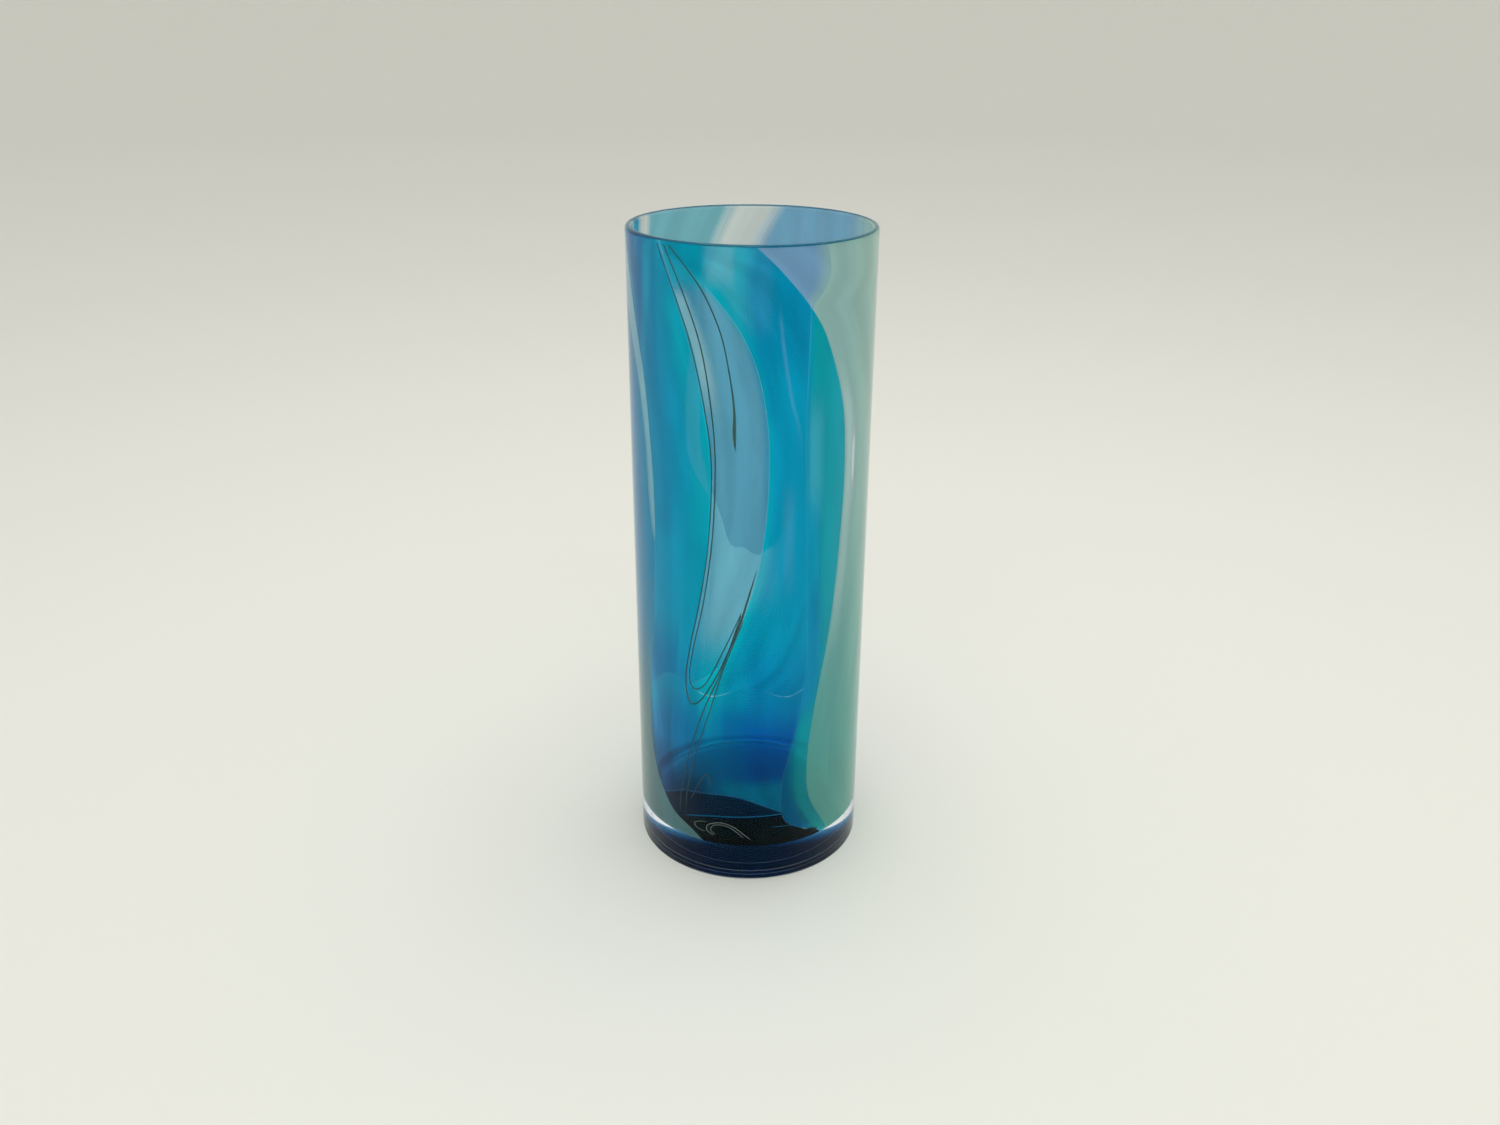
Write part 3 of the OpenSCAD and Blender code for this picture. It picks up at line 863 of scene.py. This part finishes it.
colour_piece("cobalt_pool", "cobalt_glass", "cobalt", band_left, emerald_left, [
    ("ultramarine", 0.95, [("angle", -14, 6), ("share", 0.33, 0.26), ("share", 0.16, 0.2)]),
    ("petrol", 0.9, [("angle", -10, -24), ("share", 0.26, 0.17)]),
    # Painted light: lighter just above the heel, for light from the table under the vase seen through the
    # floor
    ("surf", 0.4, [("angle", -20, -8), ("share", 0.195, 0.17)]),
    ("petrol", 0.75, [("wedge_left", -0.3, 0.6), ("wedge_right", 0.3, -0.6)]),
    ("navy", 0.6, [("angle", -16, -30), ("to_bottom", 11, 0)]),
    ("navy", 0.4, [("wedge_left", -1, 1), ("wedge_right", 1, -1), ("share", 0.24, 0.16)]),
    ("ink", 0.8, [("angle", -38, -46), ("share", 0.24, 0.18)]),
    melt("top", 22, "azure"),
    ("surf", 0.5, [("angle", 3, -6), ("angle", -34, -22), ("share", 0.29, 0.34)]),
], bottom=heel_top, top=pool_top, low=0.1, high=0.34)
colour_piece("midnight_heel", "midnight_glass", "midnight", band_left, emerald_left, [
    ("navy", 1.0, [("glint", -2.5, 0.5)]),
    # Painted reflections: thin pale blue glint lines across the heel
    ("glint", 0.8, [("glint", -0.3, 0), ("glint", 0.3, 0), ("angle", -37, -31)]),
    ("glint", 0.6, [("low_glint", -0.25, 0), ("low_glint", 0.25, 0), ("angle", 9, 14)]),
    melt("top", 1.2, "cobalt"),
], top=heel_top, high=0.13)

# The panels on the right, round the back, and on the left as far as the band again
colour_piece("jade_panel", "jade_opal", "jade", jade_left, jade_right, [
    ("deep_jade", 1.0, [("share", 0.74, 0.2)]),
    ("milk", 0.5, [("to_left", 0.2, 1.4), ("to_left", 7, 3.0), ("share", 0.86, 0.76),
                   ("share", 0.35, 0.52)]),
    # Painted highlight: a bright white spot in the jade panel, with a softer white halo round it
    ("white", 0.75, [("angle", 52.8, 54.8), ("angle", 58.4, 56.2), ("share", 0.8, 0.7),
                     ("share", 0.58, 0.66)]),
    ("painted_highlight_white", 1.0, [("angle", 54.3, 55.3), ("angle", 57.3, 56), ("share", 0.735, 0.7),
                   ("share", 0.64, 0.67)]),
    melt("right", 8, "periwinkle"),
])
colour_piece("lavender_shoulder", "lavender_opal", "shoulder", band_right, shoulder_right, [
    melt("right", 7, "jade", most=0.7),
], low=shoulder_foot)
colour_piece("periwinkle_panel", "periwinkle_opal", "periwinkle", jade_right, ribbon_left, [
    melt("left", 8, "jade"),
    melt("right", 4, "white"),
])
colour_piece("white_ribbon", "white_opal", "white", ribbon_left, ribbon_right, [
    melt("left", 4, "periwinkle"),
    melt("right", 4, "seafoam"),
])
colour_piece("seafoam_panel", "seafoam_opal", "seafoam", ribbon_right, streak_left, [
    melt("left", 4, "white"),
    melt("right", 2, "white"),
])
colour_piece("white_streak", "white_opal", "white", streak_left, streak_right, [
    melt("left", 2, "seafoam"),
    melt("right", 2, "sky"),
])
colour_piece("sky_panel", "periwinkle_opal", "sky", streak_right, sky_right, [
    melt("left", 2, "white"),
], bottom=celadon_top, low=0.47)
colour_piece("white_edge", "white_opal", "frost", white_edge_left, band_left, [
    melt("left", 2, "sky"),
], low=edge_foot)
colour_piece("celadon_panel", "celadon_opal", "celadon", streak_right, celadon_right, [
    ("sky", 0.9, [("share", 0.2, 0.44)]),
    melt("left", 2, "white"),
], top=celadon_top, high=0.47)


# ---------------------------------------------------------------- threads

THREAD_LIFT = 0.6 * THREAD_T                # from the colour layer to the middle of a thread
TAILS_LIFT = 1.5 * THREAD_T                 # the tails pass over the other threads


def thread_glass(name, colour, thin, thick):
    """A glass that is thin's share solid where the thread is fine, and thick's share where it is wide."""
    material, tree = new_material(name)
    solid = node(tree, "BsdfPrincipled", {"Base Color": colour, "Roughness": 0.4}).outputs[0]
    share = fade(tree, attribute(tree, "width"), FINE, WIDE, thin, thick)
    output(tree, mixed_shader(tree, share, transparent(tree, colour), solid))
    return material


def thread_ring(bm, widths, spot, ahead, angle, width):
    """A flattened ring of points round a thread. widths is the layer that holds its width."""
    out = place(angle, 1, 0)
    side = ahead.cross(out).normalized()
    ring = []
    for k in range(THREAD_SIDES):
        turn = 2 * math.pi * k / THREAD_SIDES
        across = side * math.cos(turn) * width * MM / 2
        ring.append(bm.verts.new(spot + across + out * math.sin(turn) * min(THREAD_T, width * MM) / 2))
        ring[-1][widths] = width
    return ring


def thread(bm, route, lift):
    """A flattened round thread along a route just outside the colour layer, closed at both ends."""
    path = spline(route, THREAD_STEPS)
    widths = bm.verts.layers.float.get("width") or bm.verts.layers.float.new("width")
    spots = [place(angle, COLOUR_R + lift, share * HEIGHT) for angle, share, _ in path]
    befores = spots[:1] + spots
    afters = spots[1:] + spots[-1:]
    rings = []
    for before, spot, after, (angle, _, width) in zip(befores, spots, afters, path):
        rings.append(thread_ring(bm, widths, spot, (after - before).normalized(), angle, width))
    rings = [[bm.verts.new(spots[0])], *rings, [bm.verts.new(spots[-1])]]
    join_rings(bm, rings, THREAD_SIDES, [OWN] * len(rings))


def thread_piece(name, material):
    """All the threads of a piece."""
    bm = bmesh.new()
    for route in THREADS[name]:
        thread(bm, route, TAILS_LIFT if name == "stringer_tails" else THREAD_LIFT)
    new_piece(name, bm, [material])


stringer_glass = thread_glass("stringer_glass", (0.03, 0.1, 0.09), thin=0.6, thick=0.95)
smoke_glass = thread_glass("smoke_glass", (0.24, 0.32, 0.29), thin=0.7, thick=0.7)
for stringer in ("outer_loop", "inner_loop", "streak", "tails", "hook"):
    thread_piece("stringer_" + stringer, stringer_glass)
thread_piece("heel_curls", smoke_glass)


# ---------------------------------------------------------------- stage, light and camera

# The stage in metres
FLAT_R = 3.0
CURVE_R = 1.5
BACKDROP = 1.0
STAGE_STEPS = 96                            # straight pieces round it, across its flat and up its curve
FLAT_STEPS = 8
CURVE_STEPS = 24

# The camera, fitted to the lip and the foot in the photo: degrees, outside radii and mm
PITCH = 23.74
ROLL = 0.37
EYE_BACK = 10.418
EYE_UP = 7.228
SENSOR = 36
LENS = 31.25


def stage():
    """A round pale floor that rises at its edge into a wall, with no line between the two."""
    section = [(FLAT_R * i / FLAT_STEPS, -AIR) for i in range(FLAT_STEPS + 1)]
    section += arc((FLAT_R, CURVE_R - AIR), CURVE_R, -90, 0, CURVE_STEPS)[1:]
    section += [(FLAT_R + CURVE_R, CURVE_R + BACKDROP)]
    bm = bmesh.new()
    rings = [new_ring(bm, radius, z, STAGE_STEPS) for radius, z in section]
    join_rings(bm, rings, STAGE_STEPS, [OWN] * len(rings))
    bmesh.ops.recalc_face_normals(bm, faces=bm.faces)
    paper, tree = new_material("studio_paper")
    output(tree, diffuse(tree, (0.8, 0.798, 0.735)))
    floor = new_object("studio_floor", bm, [paper])


def soft_sky(strength):
    """The same pale light from all round."""
    world = bpy.data.worlds.new("soft_sky")
    world.use_nodes = True
    background = world.node_tree.nodes["Background"].inputs
    background["Color"].default_value = (1.0, 1.0, 1.0, 1)
    background["Strength"].default_value = strength
    bpy.context.scene.world = world


def soft_light(name, spot, target, size, power):
    """A faintly warm soft box."""
    light = bpy.data.lights.new(name, "AREA")
    light.shape = "RECTANGLE"
    light.size, light.size_y = size
    light.energy = power
    light.color = (1.0, 0.99, 0.97)
    lamp = bpy.data.objects.new(name, light)
    lamp.location = spot
    lamp.rotation_euler = (Vector(target) - Vector(spot)).to_track_quat("-Z", "Y").to_euler()
    bpy.context.scene.collection.objects.link(lamp)


def camera():
    """Looks down on the vase from about half a metre away."""
    data = bpy.data.cameras.new("camera")
    data.sensor_width = SENSOR
    data.lens = LENS
    data.clip_start = 0.01
    eye = bpy.data.objects.new("camera", data)
    pitch, roll = math.radians(PITCH), math.radians(ROLL)
    ahead = Vector((0, math.cos(pitch), -math.sin(pitch)))
    up = Vector((0, math.sin(pitch), math.cos(pitch)))
    right = Vector((1, 0, 0))
    tilted_right = right * math.cos(roll) + up * math.sin(roll)
    tilted_up = up * math.cos(roll) - right * math.sin(roll)
    turn = Matrix((tilted_right, tilted_up, -ahead)).transposed()
    eye.matrix_world = Matrix.Translation((0, -EYE_BACK * OUTER_R, EYE_UP * OUTER_R)) @ turn.to_4x4()
    bpy.context.scene.collection.objects.link(eye)
    bpy.context.scene.camera = eye


def light_paths(cycles):
    """Enough bounces for light to get through all the layers of glass."""
    cycles.max_bounces = 24
    cycles.transmission_bounces = 24
    cycles.transparent_max_bounces = 64
    cycles.diffuse_bounces = 6
    cycles.glossy_bounces = 8


stage()
soft_sky(strength=0.81)
soft_light("overhead", spot=(0.1, 0.05, 1.1), target=(0.1, 0.05, 0), size=(0.9, 0.9), power=3.4)
soft_light("front", spot=(0, -1.0, 1.1), target=(0, 0, 0.1), size=(1.2, 0.5), power=2.8)
camera()
light_paths(bpy.context.scene.cycles)
bpy.context.scene.view_settings.view_transform = "Standard"
